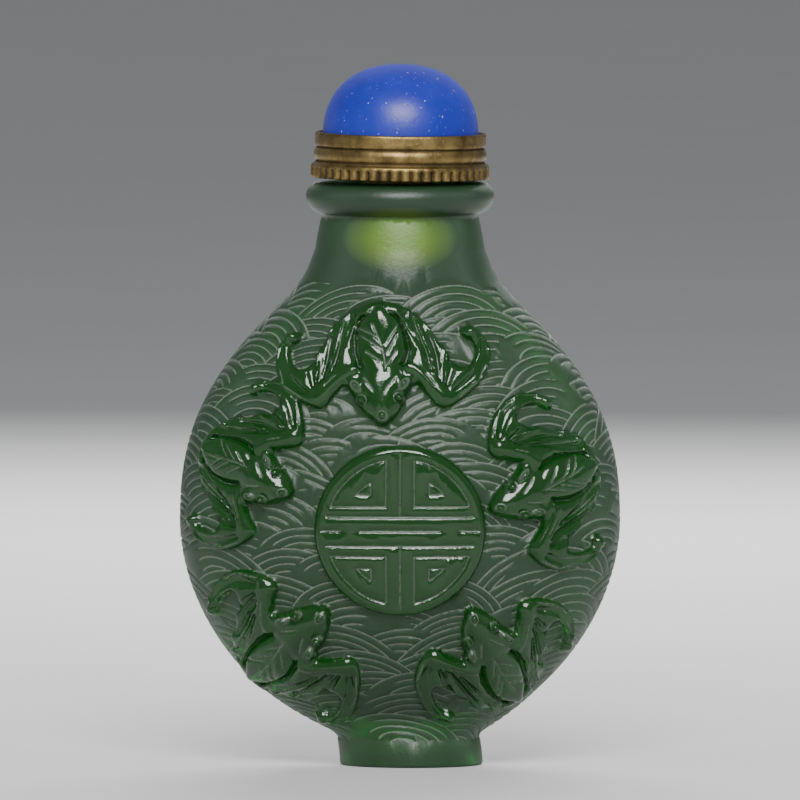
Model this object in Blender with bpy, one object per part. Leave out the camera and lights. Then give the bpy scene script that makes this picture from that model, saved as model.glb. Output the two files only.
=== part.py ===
"""A carved green glass snuff bottle with a stopper. Metres, +Z up, the front faces -Y.

The bottle is one hollow glass body: foot ring, flattened belly, round neck and rolled lip. Each broad
face carries a raised roundel with a fret and five bats round it. The stopper is a blue dome in a brass
collar over a short cork, and only rests in the mouth.
"""
import math

import bmesh
import bpy
import numpy as np

MM = 0.001

# Foot ring
FOOT_HALF_WIDTH = 7.6 * MM
FOOT_HALF_DEPTH = 5.8 * MM
FOOT_HEIGHT = 2.9 * MM
FOOT_RIM_WIDTH = 2.0 * MM
FOOT_RECESS_DEPTH = 1.3 * MM
FOOT_EDGE = 0.35 * MM
FOOT_TRIM = 0.4 * MM
FOOT_SHIFT = 1.2 * MM
FOOT_SHIFT_FADE = 9.0 * MM

# Belly, neck and lip
BELLY_HALF_WIDTH = 23.4 * MM
BELLY_HALF_DEPTH = 12.2 * MM
BELLY_CENTRE = 26.0 * MM
BELLY_DROP = 24.4 * MM
BELLY_RISE = 29.0 * MM
NECK_RADIUS = 8.1 * MM
NECK_FLARE = 1.7 * MM
NECK_FLARE_LENGTH = 6.0 * MM
NECK_TOP = 58.65 * MM
SHOULDER_BLEND = 4.0 * MM
SHOULDER_REACH = 12.0 * MM
FOOT_BLEND = 0.8 * MM
LIP_RADIUS = 10.0 * MM
LIP_HEIGHT = 3.35 * MM
LIP_EDGE = 0.5 * MM

# Inside
WALL = 3.5 * MM
BORE_RADIUS = 4.0 * MM

# Carving
ROUNDEL_HEIGHT = 25.7 * MM
ROUNDEL_RADIUS = 9.1 * MM
ROUNDEL_RELIEF = 1.0 * MM
ROUNDEL_EDGE = 0.8 * MM
FRET_LINE = 0.55 * MM
FRET_DEPTH = 0.4 * MM
BAT_RELIEF = 1.0 * MM

# Stopper
SEAT_GAP = 0.3 * MM
STOPPER_LEAN = math.radians(0.8)
KNURL_RADIUS = 9.5 * MM
KNURL_HEIGHT = 1.8 * MM
KNURL_DEPTH = 0.35 * MM
KNURL_TEETH = 50
BEAD_RADIUS = 9.2 * MM
BEAD_HEIGHT = 1.5 * MM
BAND_RADIUS = 9.1 * MM
BAND_HEIGHT = 1.55 * MM
BEZEL_WALL = 0.5 * MM
COLLAR_GROOVE = 0.28 * MM
BEAD_DEPTH = 0.45 * MM
POCKET_DEPTH = 1.3 * MM
SOCKET_DEPTH = 1.2 * MM
CABOCHON_HEIGHT = 8.25 * MM
CORK_LENGTH = 4.6 * MM
CORK_TAPER = 0.3 * MM

# How finely the solids are faceted
COLUMNS = 600
ROW_STEP = 0.27 * MM
PLAIN_STEP = 1.0 * MM
BOTTLE_TRIANGLES = 7900
COLLAR_TRIANGLES = 1250


def smooth_max(first, second, blend):
    """The larger of two sizes, with the corner between them rounded by the blend."""
    return 0.5 * (first + second + np.sqrt((first - second) ** 2 + blend ** 2))


def belly(height, half_size, drop, rise):
    """Half the belly's size at a height: full at the belly's centre, closing below and above it."""
    below = np.clip((BELLY_CENTRE - height) / drop, 0.0, 1.0)
    above = np.clip((height - BELLY_CENTRE) / rise, 0.0, 1.0)
    lower = (1.0 - below ** 1.9) ** 0.58
    upper = (1.0 - above ** 2.2) ** 0.75
    return half_size * np.where(height < BELLY_CENTRE, lower, upper)


def neck(height, radius):
    """Radius of the neck, which spreads a little as it comes down to the shoulder."""
    below_top = np.clip(NECK_TOP - height, 0.0, None)
    return radius + NECK_FLARE * (1.0 - np.exp(-below_top / NECK_FLARE_LENGTH))


def outer_half(height, half_size, foot_half):
    """Half the outside width or depth, from the top of the foot to the top of the neck."""
    swell = belly(height, half_size, BELLY_DROP, BELLY_RISE)
    upper = smooth_max(swell, neck(height, NECK_RADIUS) - SHOULDER_BLEND * 0.08, SHOULDER_BLEND)
    lower = smooth_max(swell, foot_half * 0.98, FOOT_BLEND)
    climb = np.clip((height - BELLY_CENTRE) / SHOULDER_REACH, 0.0, 1.0)
    return lower + (upper - lower) * climb ** 2 * (3.0 - 2.0 * climb)


def half_width(height):
    return outer_half(height, BELLY_HALF_WIDTH, FOOT_HALF_WIDTH)


def half_depth(height):
    return outer_half(height, BELLY_HALF_DEPTH, FOOT_HALF_DEPTH)


def inner_half(height, half_size):
    """Half the width or depth of the cavity, which keeps one wall thickness inside the belly."""
    swell = belly(height, half_size - WALL, BELLY_DROP - WALL, BELLY_RISE - WALL)
    return np.where(height < BELLY_CENTRE, swell, smooth_max(swell, BORE_RADIUS * 0.97, BORE_RADIUS * 0.35))


def arc(centre, radii, start, end, count):
    """Points of an elliptical arc as (radius, height), with angles in degrees."""
    angles = np.radians(np.linspace(start, end, count))
    return [(centre[0] + radii[0] * math.cos(a), centre[1] + radii[1] * math.sin(a)) for a in angles]


def bottle_stations():
    """The bottle's outline from the middle of its base, up the outside and down into the cavity.

    Each station is (half width, half depth, height).
    """
    mouth_top = NECK_TOP + LIP_HEIGHT
    side_gap = FOOT_HALF_WIDTH - FOOT_HALF_DEPTH
    recess = FOOT_HALF_WIDTH - FOOT_RIM_WIDTH
    stations = []

    def add(width, depth, height):
        stations.append((float(width), float(depth), float(height)))

    for share in np.linspace(0.0, 1.0, 5):
        add(recess * share, (recess - side_gap) * share, FOOT_RECESS_DEPTH)
    for radius, height in [(recess, -FOOT_TRIM), (FOOT_HALF_WIDTH - FOOT_EDGE, -FOOT_TRIM)] + arc(
            (FOOT_HALF_WIDTH - FOOT_EDGE, FOOT_EDGE), (FOOT_EDGE, FOOT_EDGE), -90, 0, 3):
        add(radius, radius - side_gap, height)
    add(FOOT_HALF_WIDTH, FOOT_HALF_DEPTH, FOOT_HEIGHT - FOOT_EDGE)
    for height in np.arange(FOOT_HEIGHT, NECK_TOP, ROW_STEP):
        add(half_width(height), half_depth(height), height)
    middle = mouth_top - LIP_HEIGHT * 0.42
    bulge = LIP_RADIUS - NECK_RADIUS
    lip = arc((NECK_RADIUS, middle), (bulge, middle - NECK_TOP), -78, 0, 7)
    lip += arc((LIP_RADIUS - bulge, middle), (bulge, (mouth_top - middle) * 1.15), 12, 48, 4)
    lip += arc((LIP_RADIUS - bulge, mouth_top - LIP_EDGE), (LIP_EDGE * 2, LIP_EDGE), 60, 90, 2)
    lip += arc((BORE_RADIUS + LIP_EDGE, mouth_top - LIP_EDGE), (LIP_EDGE, LIP_EDGE), 90, 180, 3)
    for radius, height in lip:
        add(radius, radius, height)
    floor = BELLY_CENTRE - (BELLY_DROP - WALL)
    bore_end = BELLY_CENTRE + BELLY_RISE - WALL
    for height in np.arange(mouth_top - LIP_EDGE - PLAIN_STEP, bore_end, -PLAIN_STEP):
        add(BORE_RADIUS, BORE_RADIUS, height)
    sweep = np.linspace(0.0, math.pi / 2, 12)
    for height in bore_end + (BELLY_CENTRE - bore_end) * np.linspace(0.0, 1.0, 20):
        add(inner_half(height, BELLY_HALF_WIDTH), inner_half(height, BELLY_HALF_DEPTH), height)
    for height in BELLY_CENTRE + (floor - BELLY_CENTRE) * np.sin(sweep[1:]):
        add(inner_half(height, BELLY_HALF_WIDTH), inner_half(height, BELLY_HALF_DEPTH), height)
    return np.array(stations)


def face_depth(x, z):
    """How far the uncarved face stands out from the bottle's middle plane."""
    share = np.clip(x / half_width(z), -1.0, 1.0)
    return half_depth(z) * np.sqrt(1.0 - share ** 2)


def face_chart(x, z, steps=24):
    """Lays a broad face flat: distances are measured over the glass from the roundel's centre."""
    rise = z - ROUNDEL_HEIGHT
    straight = np.hypot(x, rise)
    length = np.zeros_like(x)
    depth = face_depth(np.zeros_like(x), np.full_like(x, ROUNDEL_HEIGHT))
    for step in range(1, steps + 1):
        share = step / steps
        next_depth = face_depth(x * share, ROUNDEL_HEIGHT + rise * share)
        length += np.hypot(straight / steps, next_depth - depth)
        depth = next_depth
    stretch = length / np.maximum(straight, 1e-9)
    return x * stretch, rise * stretch


def segment_distance(x, y, start, end):
    """Distance to a straight line between two points, and how far along it the nearest point is."""
    run = (end[0] - start[0], end[1] - start[1])
    square = run[0] ** 2 + run[1] ** 2
    along = np.clip(((x - start[0]) * run[0] + (y - start[1]) * run[1]) / square, 0.0, 1.0)
    return np.hypot(x - start[0] - along * run[0], y - start[1] - along * run[1]), along


def rounded(share):
    """Cross section of carved relief: 1 in the middle, falling to 0 where the share reaches 1."""
    return np.clip(1.0 - share ** 2, 0.0, 1.0) ** 0.6


def ridge(x, y, points, widths, height, pieces=6):
    """A rounded ridge along a bent line through three points, with a width at each of them."""
    start, bend, end = (np.array(point, dtype=float) for point in points)
    control = 2.0 * bend - 0.5 * (start + end)
    raised = np.zeros_like(x)
    for piece in range(pieces):
        ends = []
        for t in (piece / pieces, (piece + 1) / pieces):
            place = (1 - t) ** 2 * start + 2 * t * (1 - t) * control + t ** 2 * end
            ends.append((place, np.interp(t, (0.0, 0.5, 1.0), widths)))
        distance, along = segment_distance(x, y, ends[0][0], ends[1][0])
        reach = ends[0][1] + (ends[1][1] - ends[0][1]) * along
        raised = np.maximum(raised, height * rounded(distance / reach))
    return raised


def mound(x, y, centre, radii, height, turn=0.0):
    """A rounded oval boss, turned by an angle in degrees."""
    c, s = math.cos(math.radians(turn)), math.sin(math.radians(turn))
    across = ((x - centre[0]) * c + (y - centre[1]) * s) / radii[0]
    along = ((y - centre[1]) * c - (x - centre[0]) * s) / radii[1]
    return height * rounded(np.hypot(across, along))


def inside_distance(x, y, outline):
    """Distance from a closed outline, more than 0 inside it and less than 0 outside."""
    nearest = np.full_like(x, 99.0)
    inside = np.zeros(x.shape, dtype=bool)
    for start, end in zip(outline, outline[1:] + outline[:1]):
        nearest = np.minimum(nearest, segment_distance(x, y, start, end)[0])
        if start[1] != end[1]:
            crossing = start[0] + (y - start[1]) * (end[0] - start[0]) / (end[1] - start[1])
            inside ^= ((start[1] > y) != (end[1] > y)) & (x < crossing)
    return np.where(inside, nearest, -nearest)


# A bat in its own plan: millimetres of a bat 12 mm long, the nose towards +y, heights as shares of its
# relief. The outline runs from the tail round one wing and its hooked tip to the nose. The other half is
# the mirror image, and the two points beyond the middle keep the middle line free of an edge.
BAT_PLAN_LENGTH = 12.0
BAT_OUTLINE = (
    (-3.0, -6.1), (0.0, -6.1), (1.5, -5.9), (2.9, -5.3), (4.1, -4.6), (5.0, -3.6), (5.6, -2.5),
    (6.4, -1.3), (7.3, 0.1), (8.2, 0.35), (8.9, 0.0), (9.2, -0.9), (9.1, -1.8), (8.6, -2.5), (7.9, -3.0),
    (8.1, -3.5), (9.1, -3.6), (10.2, -2.8), (10.8, -1.3), (10.7, 0.2), (10.2, 1.6), (9.3, 2.7),
    (8.0, 3.7), (6.6, 4.3), (5.5, 4.2), (4.8, 3.3), (4.3, 2.4), (3.7, 2.0), (3.1, 2.4), (2.1, 4.0),
    (1.25, 5.3), (0.65, 6.05), (0.0, 6.2), (-3.0, 6.2),
)
BAT_EDGE = 0.8
PLATE_HEIGHT = 0.95
WING_ARM = ((2.6, 0.4), (4.1, 1.2), (6.2, 3.2))
WING_ARM_WIDTHS = (0.9, 0.9, 1.2)
WING_HOLLOWS = (
    (((3.3, -4.3), (4.5, -1.8), (5.6, 1.4)), (0.8, 0.65, 0.3)),
    (((4.9, -2.9), (5.6, -0.8), (6.0, 1.8)), (0.55, 0.5, 0.25)),
    (((6.6, -0.6), (6.7, 0.8), (6.5, 2.2)), (0.45, 0.55, 0.25)),
    (((9.9, -2.0), (9.75, 0.6), (7.4, 2.8)), (0.35, 0.75, 0.4)),
)
HOLLOW_DEPTH = 0.42
HOOK_CENTRE = (8.9, -3.0)
LEAF_PLACES = (-4.9, -4.2, -3.0, -1.4, 0.0, 1.0, 1.9)
LEAF_WIDTHS = (1.3, 2.2, 2.65, 2.8, 2.4, 1.4, 0.2)
TAIL_CENTRE = (0.0, -4.8)
HEAD_LINE = ((0.0, 2.2), (0.0, 3.8), (0.0, 5.4))
HEAD_WIDTHS = (2.9, 2.1, 0.85)
EAR_CENTRE = (2.3, 2.2)
EYE_CENTRE = (1.8, 3.6)
NOSE_CENTRE = (0.0, 5.3)


def bat_relief(x, y):
    """Heights of one bat in its own plan, from its wings up to its head."""
    side = np.abs(x)
    inward = np.clip(inside_distance(side, y, BAT_OUTLINE) / BAT_EDGE, 0.0, 1.0)
    plate = PLATE_HEIGHT * np.sqrt(1.0 - (1.0 - inward) ** 2)
    raised = np.maximum(plate, ridge(side, y, WING_ARM, WING_ARM_WIDTHS, 1.15))
    for points, widths in WING_HOLLOWS:
        raised -= ridge(side, y, points, widths, HOLLOW_DEPTH) * (plate > 0.0)
    raised = np.maximum(raised, mound(side, y, HOOK_CENTRE, (0.9, 0.75), 1.2))
    on_leaf = (y > LEAF_PLACES[0]) & (y < LEAF_PLACES[-1])
    leaf = 1.4 * rounded(side / np.interp(y, LEAF_PLACES, LEAF_WIDTHS))
    raised = np.where(on_leaf, np.maximum(raised, leaf), raised)
    raised = np.maximum(raised, mound(x, y, TAIL_CENTRE, (1.3, 1.2), 1.35))
    raised = np.maximum(raised, ridge(x, y, HEAD_LINE, HEAD_WIDTHS, 1.6))
    raised = np.maximum(raised, mound(side, y, EAR_CENTRE, (0.65, 1.1), 1.75, 35.0))
    raised = np.maximum(raised, mound(side, y, EYE_CENTRE, (0.65, 0.65), 1.85))
    return np.maximum(raised, mound(x, y, NOSE_CENTRE, (0.6, 0.6), 1.8))


# The five bats of a face: direction from the roundel in degrees, distance over the glass, how far the
# bat is turned off the straight line to the roundel, its length, and how wide it is spread.
BATS = (
    (96.5, 17.8 * MM, -5.5, 12.9 * MM, 1.0),
    (158.6, 18.05 * MM, -7.0, 12.1 * MM, 0.92),
    (17.0, 16.7 * MM, 6.0, 13.4 * MM, 0.84),
    (226.0, 18.5 * MM, -2.0, 13.8 * MM, 0.85),
    (306.0, 18.0 * MM, -8.0, 13.4 * MM, 0.81),
)

# The fret of the roundel, as shares of its radius. Each line is given for one quarter and repeated in
# the other three: straight lines as two ends, curved ones as a radius and two angles.
FRET_LINES = (
    ((0.0, 0.17), (0.84, 0.17)),
    ((0.0, 0.0), (0.46, 0.0)),
    ((0.68, 0.0), (0.96, 0.0)),
    ((0.0, 0.17), (0.0, 0.98)),
    ((0.16, 0.29), (0.16, 0.83)),
    ((0.16, 0.29), (0.79, 0.29)),
    ((0.33, 0.43), (0.33, 0.57)),
    ((0.33, 0.43), (0.50, 0.43)),
)
FRET_ARCS = ((0.845, 20.0, 79.0), (0.66, 41.0, 60.0))


def roundel_relief(x, y):
    """The raised disc with its fret cut in."""
    radius = np.hypot(x, y)
    beyond = np.clip((radius - ROUNDEL_RADIUS + ROUNDEL_EDGE) / ROUNDEL_EDGE, 0.0, 1.0)
    disc = ROUNDEL_RELIEF * np.sqrt(1.0 - beyond ** 2)
    across, up = np.abs(x) / ROUNDEL_RADIUS, np.abs(y) / ROUNDEL_RADIUS
    nearest = np.full_like(x, 1.0)
    for start, end in FRET_LINES:
        nearest = np.minimum(nearest, segment_distance(across, up, start, end)[0])
    bearing = np.degrees(np.arctan2(up, across))
    for share, first, last in FRET_ARCS:
        on_arc = (bearing > first) & (bearing < last)
        nearest = np.where(on_arc, np.minimum(nearest, np.abs(np.hypot(across, up) - share)), nearest)
    groove = np.clip(1.0 - nearest * ROUNDEL_RADIUS / (FRET_LINE / 2), 0.0, 1.0)
    return disc - FRET_DEPTH * groove * (beyond <= 0.0)


def carving(x, z):
    """Height of the carving on a broad face at points given as the face is looked at."""
    across, up = face_chart(x, z)
    raised = roundel_relief(across, up)
    for direction, distance, turn, length, spread in BATS:
        towards = math.radians(direction)
        heading = towards + math.pi + math.radians(turn)
        unit = length / BAT_PLAN_LENGTH
        east = across - distance * math.cos(towards)
        north = up - distance * math.sin(towards)
        plan_y = (east * math.cos(heading) + north * math.sin(heading)) / unit
        plan_x = (east * math.sin(heading) - north * math.cos(heading)) / unit / spread
        near = np.hypot(plan_x, plan_y) < BAT_PLAN_LENGTH * 1.1
        heights = np.zeros_like(x)
        heights[near] = bat_relief(plan_x[near], plan_y[near]) * BAT_RELIEF
        raised = np.maximum(raised, heights) if heights.any() else raised
    return raised


def get_array(data, name, width):
    values = np.empty(len(data) * width, dtype=np.float32)
    data.foreach_get(name, values)
    return values.reshape(-1, width).astype(float)


def roll_body(name, stations, columns):
    """Rolls a flat grid into a closed body: its columns run round, its rows follow the stations."""
    sheet = bmesh.new()
    bmesh.ops.create_grid(sheet, x_segments=columns, y_segments=len(stations) - 1, size=1.0)
    mesh = bpy.data.meshes.new(name)
    sheet.to_mesh(mesh)
    sheet.free()
    flat = get_array(mesh.vertices, "co", 3)
    angle = (flat[:, 0] + 1.0) * math.pi
    row = np.rint((flat[:, 1] + 1.0) / 2.0 * (len(stations) - 1)).astype(int)
    place = np.stack([
        stations[row, 0] * np.sin(angle),
        -stations[row, 1] * np.cos(angle),
        stations[row, 2]], axis=1)
    mesh.vertices.foreach_set("co", place.ravel())
    body = bmesh.new()
    body.from_mesh(mesh)
    bmesh.ops.remove_doubles(body, verts=body.verts, dist=1e-7)
    bmesh.ops.recalc_face_normals(body, faces=body.faces)
    body.to_mesh(mesh)
    body.free()
    return mesh


def carve(mesh):
    """Raises the carving on both broad faces, square to the glass, and shifts the foot."""
    place = get_array(mesh.vertices, "co", 3)
    normal = get_array(mesh.vertices, "normal", 3)
    surface = face_depth(place[:, 0], place[:, 2])
    outside = np.abs(np.abs(place[:, 1]) - surface) < 0.01 * MM
    outside &= (place[:, 2] > FOOT_HEIGHT) & (place[:, 2] < NECK_TOP)
    facing = np.where(place[:, 1] > 0.0, -1.0, 1.0)
    raised = np.zeros(len(place))
    raised[outside] = carving(place[outside, 0] * facing[outside], place[outside, 2])
    place += normal * raised[:, None]
    fade = np.clip(1.0 - place[:, 2] / FOOT_SHIFT_FADE, 0.0, 1.0)
    place[:, 0] += FOOT_SHIFT * fade ** 2 * (3.0 - 2.0 * fade)
    mesh.vertices.foreach_set("co", place.ravel())
    mesh.update()


def material(name, colour, roughness, metallic=0.0, transmission=0.0):
    made = bpy.data.materials.new(name)
    made.use_nodes = True
    shader = made.node_tree.nodes["Principled BSDF"]
    shader.inputs["Base Color"].default_value = (*colour, 1.0)
    shader.inputs["Roughness"].default_value = roughness
    shader.inputs["Metallic"].default_value = metallic
    shader.inputs["Transmission Weight"].default_value = transmission
    made.diffuse_color = (*colour, 1.0)
    return made


def add_object(name, mesh, finish):
    """Puts a mesh into the scene as a named object with its material, shaded smooth."""
    mesh.shade_smooth()
    mesh.materials.append(finish)
    made = bpy.data.objects.new(name, mesh)
    bpy.context.scene.collection.objects.link(made)
    return made


def apply_modifiers(made):
    """Turns what the object's modifiers show into its own mesh."""
    depsgraph = bpy.context.evaluated_depsgraph_get()
    made.data = bpy.data.meshes.new_from_object(made.evaluated_get(depsgraph), depsgraph=depsgraph)
    made.modifiers.clear()


def thin_out(made, triangles):
    """Merges facets until about this many triangles are left."""
    fine = made.data
    fine.calc_loop_triangles()
    thinner = made.modifiers.new("Thin out", "DECIMATE")
    thinner.ratio = min(1.0, triangles / len(fine.loop_triangles))
    apply_modifiers(made)


def cut_underside(made):
    """Cuts the foot ring square at the height of the table, so that it stands on one flat face."""
    block = bmesh.new()
    size = 4 * FOOT_HALF_WIDTH
    bmesh.ops.create_cube(block, size=size)
    bmesh.ops.translate(block, verts=block.verts, vec=(0.0, 0.0, -size / 2))
    mesh = bpy.data.meshes.new("underside_block")
    block.to_mesh(mesh)
    block.free()
    cutter = bpy.data.objects.new("underside_block", mesh)
    bpy.context.scene.collection.objects.link(cutter)
    trimmer = made.modifiers.new("Cut the underside", "BOOLEAN")
    trimmer.operation = "DIFFERENCE"
    trimmer.solver = "EXACT"
    trimmer.object = cutter
    apply_modifiers(made)
    bpy.data.objects.remove(cutter)


def turned_mesh(name, outline, steps):
    """Turns an outline of (radius, height) points, which begins and ends on the axis, into a body."""
    body = bmesh.new()
    verts = [body.verts.new((radius, 0.0, height)) for radius, height in outline]
    edges = [body.edges.new(pair) for pair in zip(verts, verts[1:])]
    bmesh.ops.spin(body, geom=verts + edges, cent=(0, 0, 0), axis=(0, 0, 1), angle=2 * math.pi,
                   steps=steps, use_merge=True)
    bmesh.ops.remove_doubles(body, verts=body.verts, dist=1e-7)
    bmesh.ops.recalc_face_normals(body, faces=body.faces)
    mesh = bpy.data.meshes.new(name)
    body.to_mesh(mesh)
    body.free()
    return mesh


def make_bottle():
    """The glass bottle: rolled up, carved on both faces, thinned out to its main facets and cut flat."""
    mesh = roll_body("bottle", bottle_stations(), COLUMNS)
    carve(mesh)
    glass = material("green_glass", (0.02, 0.16, 0.06), 0.3)
    made = add_object("bottle", mesh, glass)
    thin_out(made, BOTTLE_TRIANGLES)
    cut_underside(made)


def seat_on_mouth(made):
    """Sets a piece of the stopper on the mouth, leaning as the stopper does."""
    lowest = KNURL_RADIUS * math.sin(STOPPER_LEAN)
    seat = NECK_TOP + LIP_HEIGHT + SEAT_GAP + lowest
    place = get_array(made.data.vertices, "co", 3)
    c, s = math.cos(STOPPER_LEAN), math.sin(STOPPER_LEAN)
    leaned = np.stack([
        place[:, 0] * c + place[:, 2] * s,
        place[:, 1],
        place[:, 2] * c - place[:, 0] * s + seat], axis=1)
    made.data.vertices.foreach_set("co", leaned.ravel())
    made.data.update()


def make_collar():
    """The brass collar: knurled ring, bead and band, with a pocket above and a socket below."""
    bead_floor = KNURL_HEIGHT
    band_floor = bead_floor + BEAD_HEIGHT
    top = band_floor + BAND_HEIGHT
    pocket_radius = BAND_RADIUS - BEZEL_WALL
    socket_radius = BORE_RADIUS
    outline = [(0.0, SOCKET_DEPTH), (socket_radius, SOCKET_DEPTH), (socket_radius, 0.0)]
    outline += [(KNURL_RADIUS, 0.0), (KNURL_RADIUS, KNURL_HEIGHT * 0.6)]
    outline += [(BEAD_RADIUS, bead_floor - KNURL_HEIGHT * 0.15)]
    outline += [(BEAD_RADIUS - COLLAR_GROOVE, bead_floor)]
    outline += arc((BEAD_RADIUS - BEAD_DEPTH, bead_floor + BEAD_HEIGHT / 2),
                   (BEAD_DEPTH, BEAD_HEIGHT / 2 * 0.95), -64, 64, 5)
    outline += [(BAND_RADIUS - COLLAR_GROOVE, band_floor)]
    outline += [(BAND_RADIUS, band_floor + COLLAR_GROOVE), (BAND_RADIUS, top - COLLAR_GROOVE)]
    outline += [(pocket_radius + BEZEL_WALL * 0.4, top), (pocket_radius, top - COLLAR_GROOVE / 2)]
    outline += [(pocket_radius, top - POCKET_DEPTH), (0.0, top - POCKET_DEPTH)]
    mesh = turned_mesh("stopper_collar", outline, 2 * KNURL_TEETH)
    place = get_array(mesh.vertices, "co", 3)
    radius = np.hypot(place[:, 0], place[:, 1])
    tooth = np.rint(np.arctan2(place[:, 1], place[:, 0]) / (math.pi / KNURL_TEETH)).astype(int)
    on_teeth = (radius > KNURL_RADIUS - 0.01 * MM) & (place[:, 2] < KNURL_HEIGHT)
    cut = np.where(on_teeth & (tooth % 2 == 1), KNURL_DEPTH, 0.0)
    place[:, :2] *= (1.0 - cut / np.maximum(radius, KNURL_DEPTH))[:, None]
    mesh.vertices.foreach_set("co", place.ravel())
    brass = material("aged_brass", (0.42, 0.30, 0.13), 0.42, metallic=1.0)
    made = add_object("stopper_collar", mesh, brass)
    thin_out(made, COLLAR_TRIANGLES)
    seat_on_mouth(made)


def make_cabochon():
    """The blue dome, set down in the collar's pocket."""
    floor = KNURL_HEIGHT + BEAD_HEIGHT + BAND_HEIGHT - POCKET_DEPTH + SEAT_GAP
    radius = BAND_RADIUS - BEZEL_WALL - SEAT_GAP
    outline = [(0.0, floor), (radius - SEAT_GAP, floor)]
    for share in np.sin(np.linspace(0.06, math.pi / 2, 8)):
        outline.append((radius * (1.0 - share ** 2.5) ** (1 / 2.2), floor + CABOCHON_HEIGHT * share))
    outline[-1] = (0.0, floor + CABOCHON_HEIGHT)
    mesh = turned_mesh("stopper_cabochon", outline, 36)
    blue = material("blue_stone", (0.035, 0.06, 0.50), 0.3)
    seat_on_mouth(add_object("stopper_cabochon", mesh, blue))


def make_cork():
    """The cork under the collar: held in the collar's socket, it reaches down into the bore."""
    radius = BORE_RADIUS - SEAT_GAP
    top = SOCKET_DEPTH - SEAT_GAP
    tip = radius - CORK_TAPER
    outline = [(0.0, top), (radius, top), (radius, -SEAT_GAP), (tip, top - CORK_LENGTH),
               (0.0, top - CORK_LENGTH)]
    mesh = turned_mesh("stopper_cork", outline, 24)
    cork = material("cork", (0.36, 0.20, 0.09), 0.85)
    seat_on_mouth(add_object("stopper_cork", mesh, cork))


for old in list(bpy.data.objects):
    bpy.data.objects.remove(old)
make_bottle()
make_collar()
make_cabochon()
make_cork()
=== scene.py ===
"""A carved green glass snuff bottle with a blue domed stopper: the finished looks."""
import math

import bmesh
import bpy
import numpy as np
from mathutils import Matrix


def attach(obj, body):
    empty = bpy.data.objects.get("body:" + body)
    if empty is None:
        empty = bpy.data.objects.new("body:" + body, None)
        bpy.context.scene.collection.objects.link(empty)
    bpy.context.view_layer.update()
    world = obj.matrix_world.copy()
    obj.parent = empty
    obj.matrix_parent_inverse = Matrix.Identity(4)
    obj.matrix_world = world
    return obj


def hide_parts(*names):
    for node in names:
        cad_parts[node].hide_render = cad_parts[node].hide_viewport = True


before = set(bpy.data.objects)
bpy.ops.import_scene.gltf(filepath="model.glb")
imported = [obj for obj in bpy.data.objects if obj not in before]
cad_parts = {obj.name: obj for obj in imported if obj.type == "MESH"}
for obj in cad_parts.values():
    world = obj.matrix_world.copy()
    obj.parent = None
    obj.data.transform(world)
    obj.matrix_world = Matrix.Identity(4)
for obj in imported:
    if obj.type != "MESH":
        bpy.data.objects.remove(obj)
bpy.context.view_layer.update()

# The bottle. One piece of deep green glass, blown thick and cut back on a wheel: a low oval foot ring, a
# flattened round body hollowed out inside, a plain neck and a rolled lip. Its outline is worked out from
# a few sizes, as half its width and half its depth at each height.
MM = 0.001
foot_half_width, foot_half_depth = 7.6 * MM, 5.8 * MM
foot_height, foot_rim, foot_recess, foot_edge = 2.9 * MM, 2.0 * MM, 1.3 * MM, 0.35 * MM
foot_shift, foot_shift_fade = 1.2 * MM, 9.0 * MM
belly_half_width, belly_half_depth = 23.4 * MM, 12.2 * MM
belly_centre, belly_drop, belly_rise = 26.0 * MM, 24.4 * MM, 29.0 * MM
neck_radius, neck_flare, neck_flare_length, neck_top = 8.1 * MM, 1.7 * MM, 6.0 * MM, 58.65 * MM
shoulder_blend, shoulder_reach, foot_blend = 4.0 * MM, 12.0 * MM, 0.8 * MM
lip_radius, lip_height, lip_edge = 10.0 * MM, 3.35 * MM, 0.5 * MM
wall, bore_radius = 3.5 * MM, 4.0 * MM
mouth_top = neck_top + lip_height


def smooth_max(first, second, blend):
    """The larger of two sizes, with the corner between them rounded by the blend."""
    return 0.5 * (first + second + np.sqrt((first - second) ** 2 + blend ** 2))


def belly(height, half_size, drop, rise):
    """Half the belly's size at a height: full at the belly's centre, closing below and above it."""
    below = np.clip((belly_centre - height) / drop, 0.0, 1.0)
    above = np.clip((height - belly_centre) / rise, 0.0, 1.0)
    lower = (1.0 - below ** 1.9) ** 0.58
    upper = (1.0 - above ** 2.2) ** 0.75
    return half_size * np.where(height < belly_centre, lower, upper)


def outer_half(height, half_size, foot_half):
    """Half the outside width or depth between the foot and the lip."""
    swell = belly(height, half_size, belly_drop, belly_rise)
    below_top = np.clip(neck_top - height, 0.0, None)
    neck = neck_radius + neck_flare * (1.0 - np.exp(-below_top / neck_flare_length))
    upper = smooth_max(swell, neck - shoulder_blend * 0.08, shoulder_blend)
    lower = smooth_max(swell, foot_half * 0.98, foot_blend)
    climb = np.clip((height - belly_centre) / shoulder_reach, 0.0, 1.0)
    return lower + (upper - lower) * climb ** 2 * (3.0 - 2.0 * climb)


def inner_half(height, half_size):
    """Half the width or depth of the hollow, one wall thickness inside the belly."""
    swell = belly(height, half_size - wall, belly_drop - wall, belly_rise - wall)
    return np.where(height < belly_centre, swell, smooth_max(swell, bore_radius * 0.97, bore_radius * 0.35))


def arc(centre, radii, start, end, count):
    """Points of an elliptical arc as (radius, height), with angles in degrees."""
    angles = np.radians(np.linspace(start, end, count))
    return [(centre[0] + radii[0] * math.cos(a), centre[1] + radii[1] * math.sin(a)) for a in angles]


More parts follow.
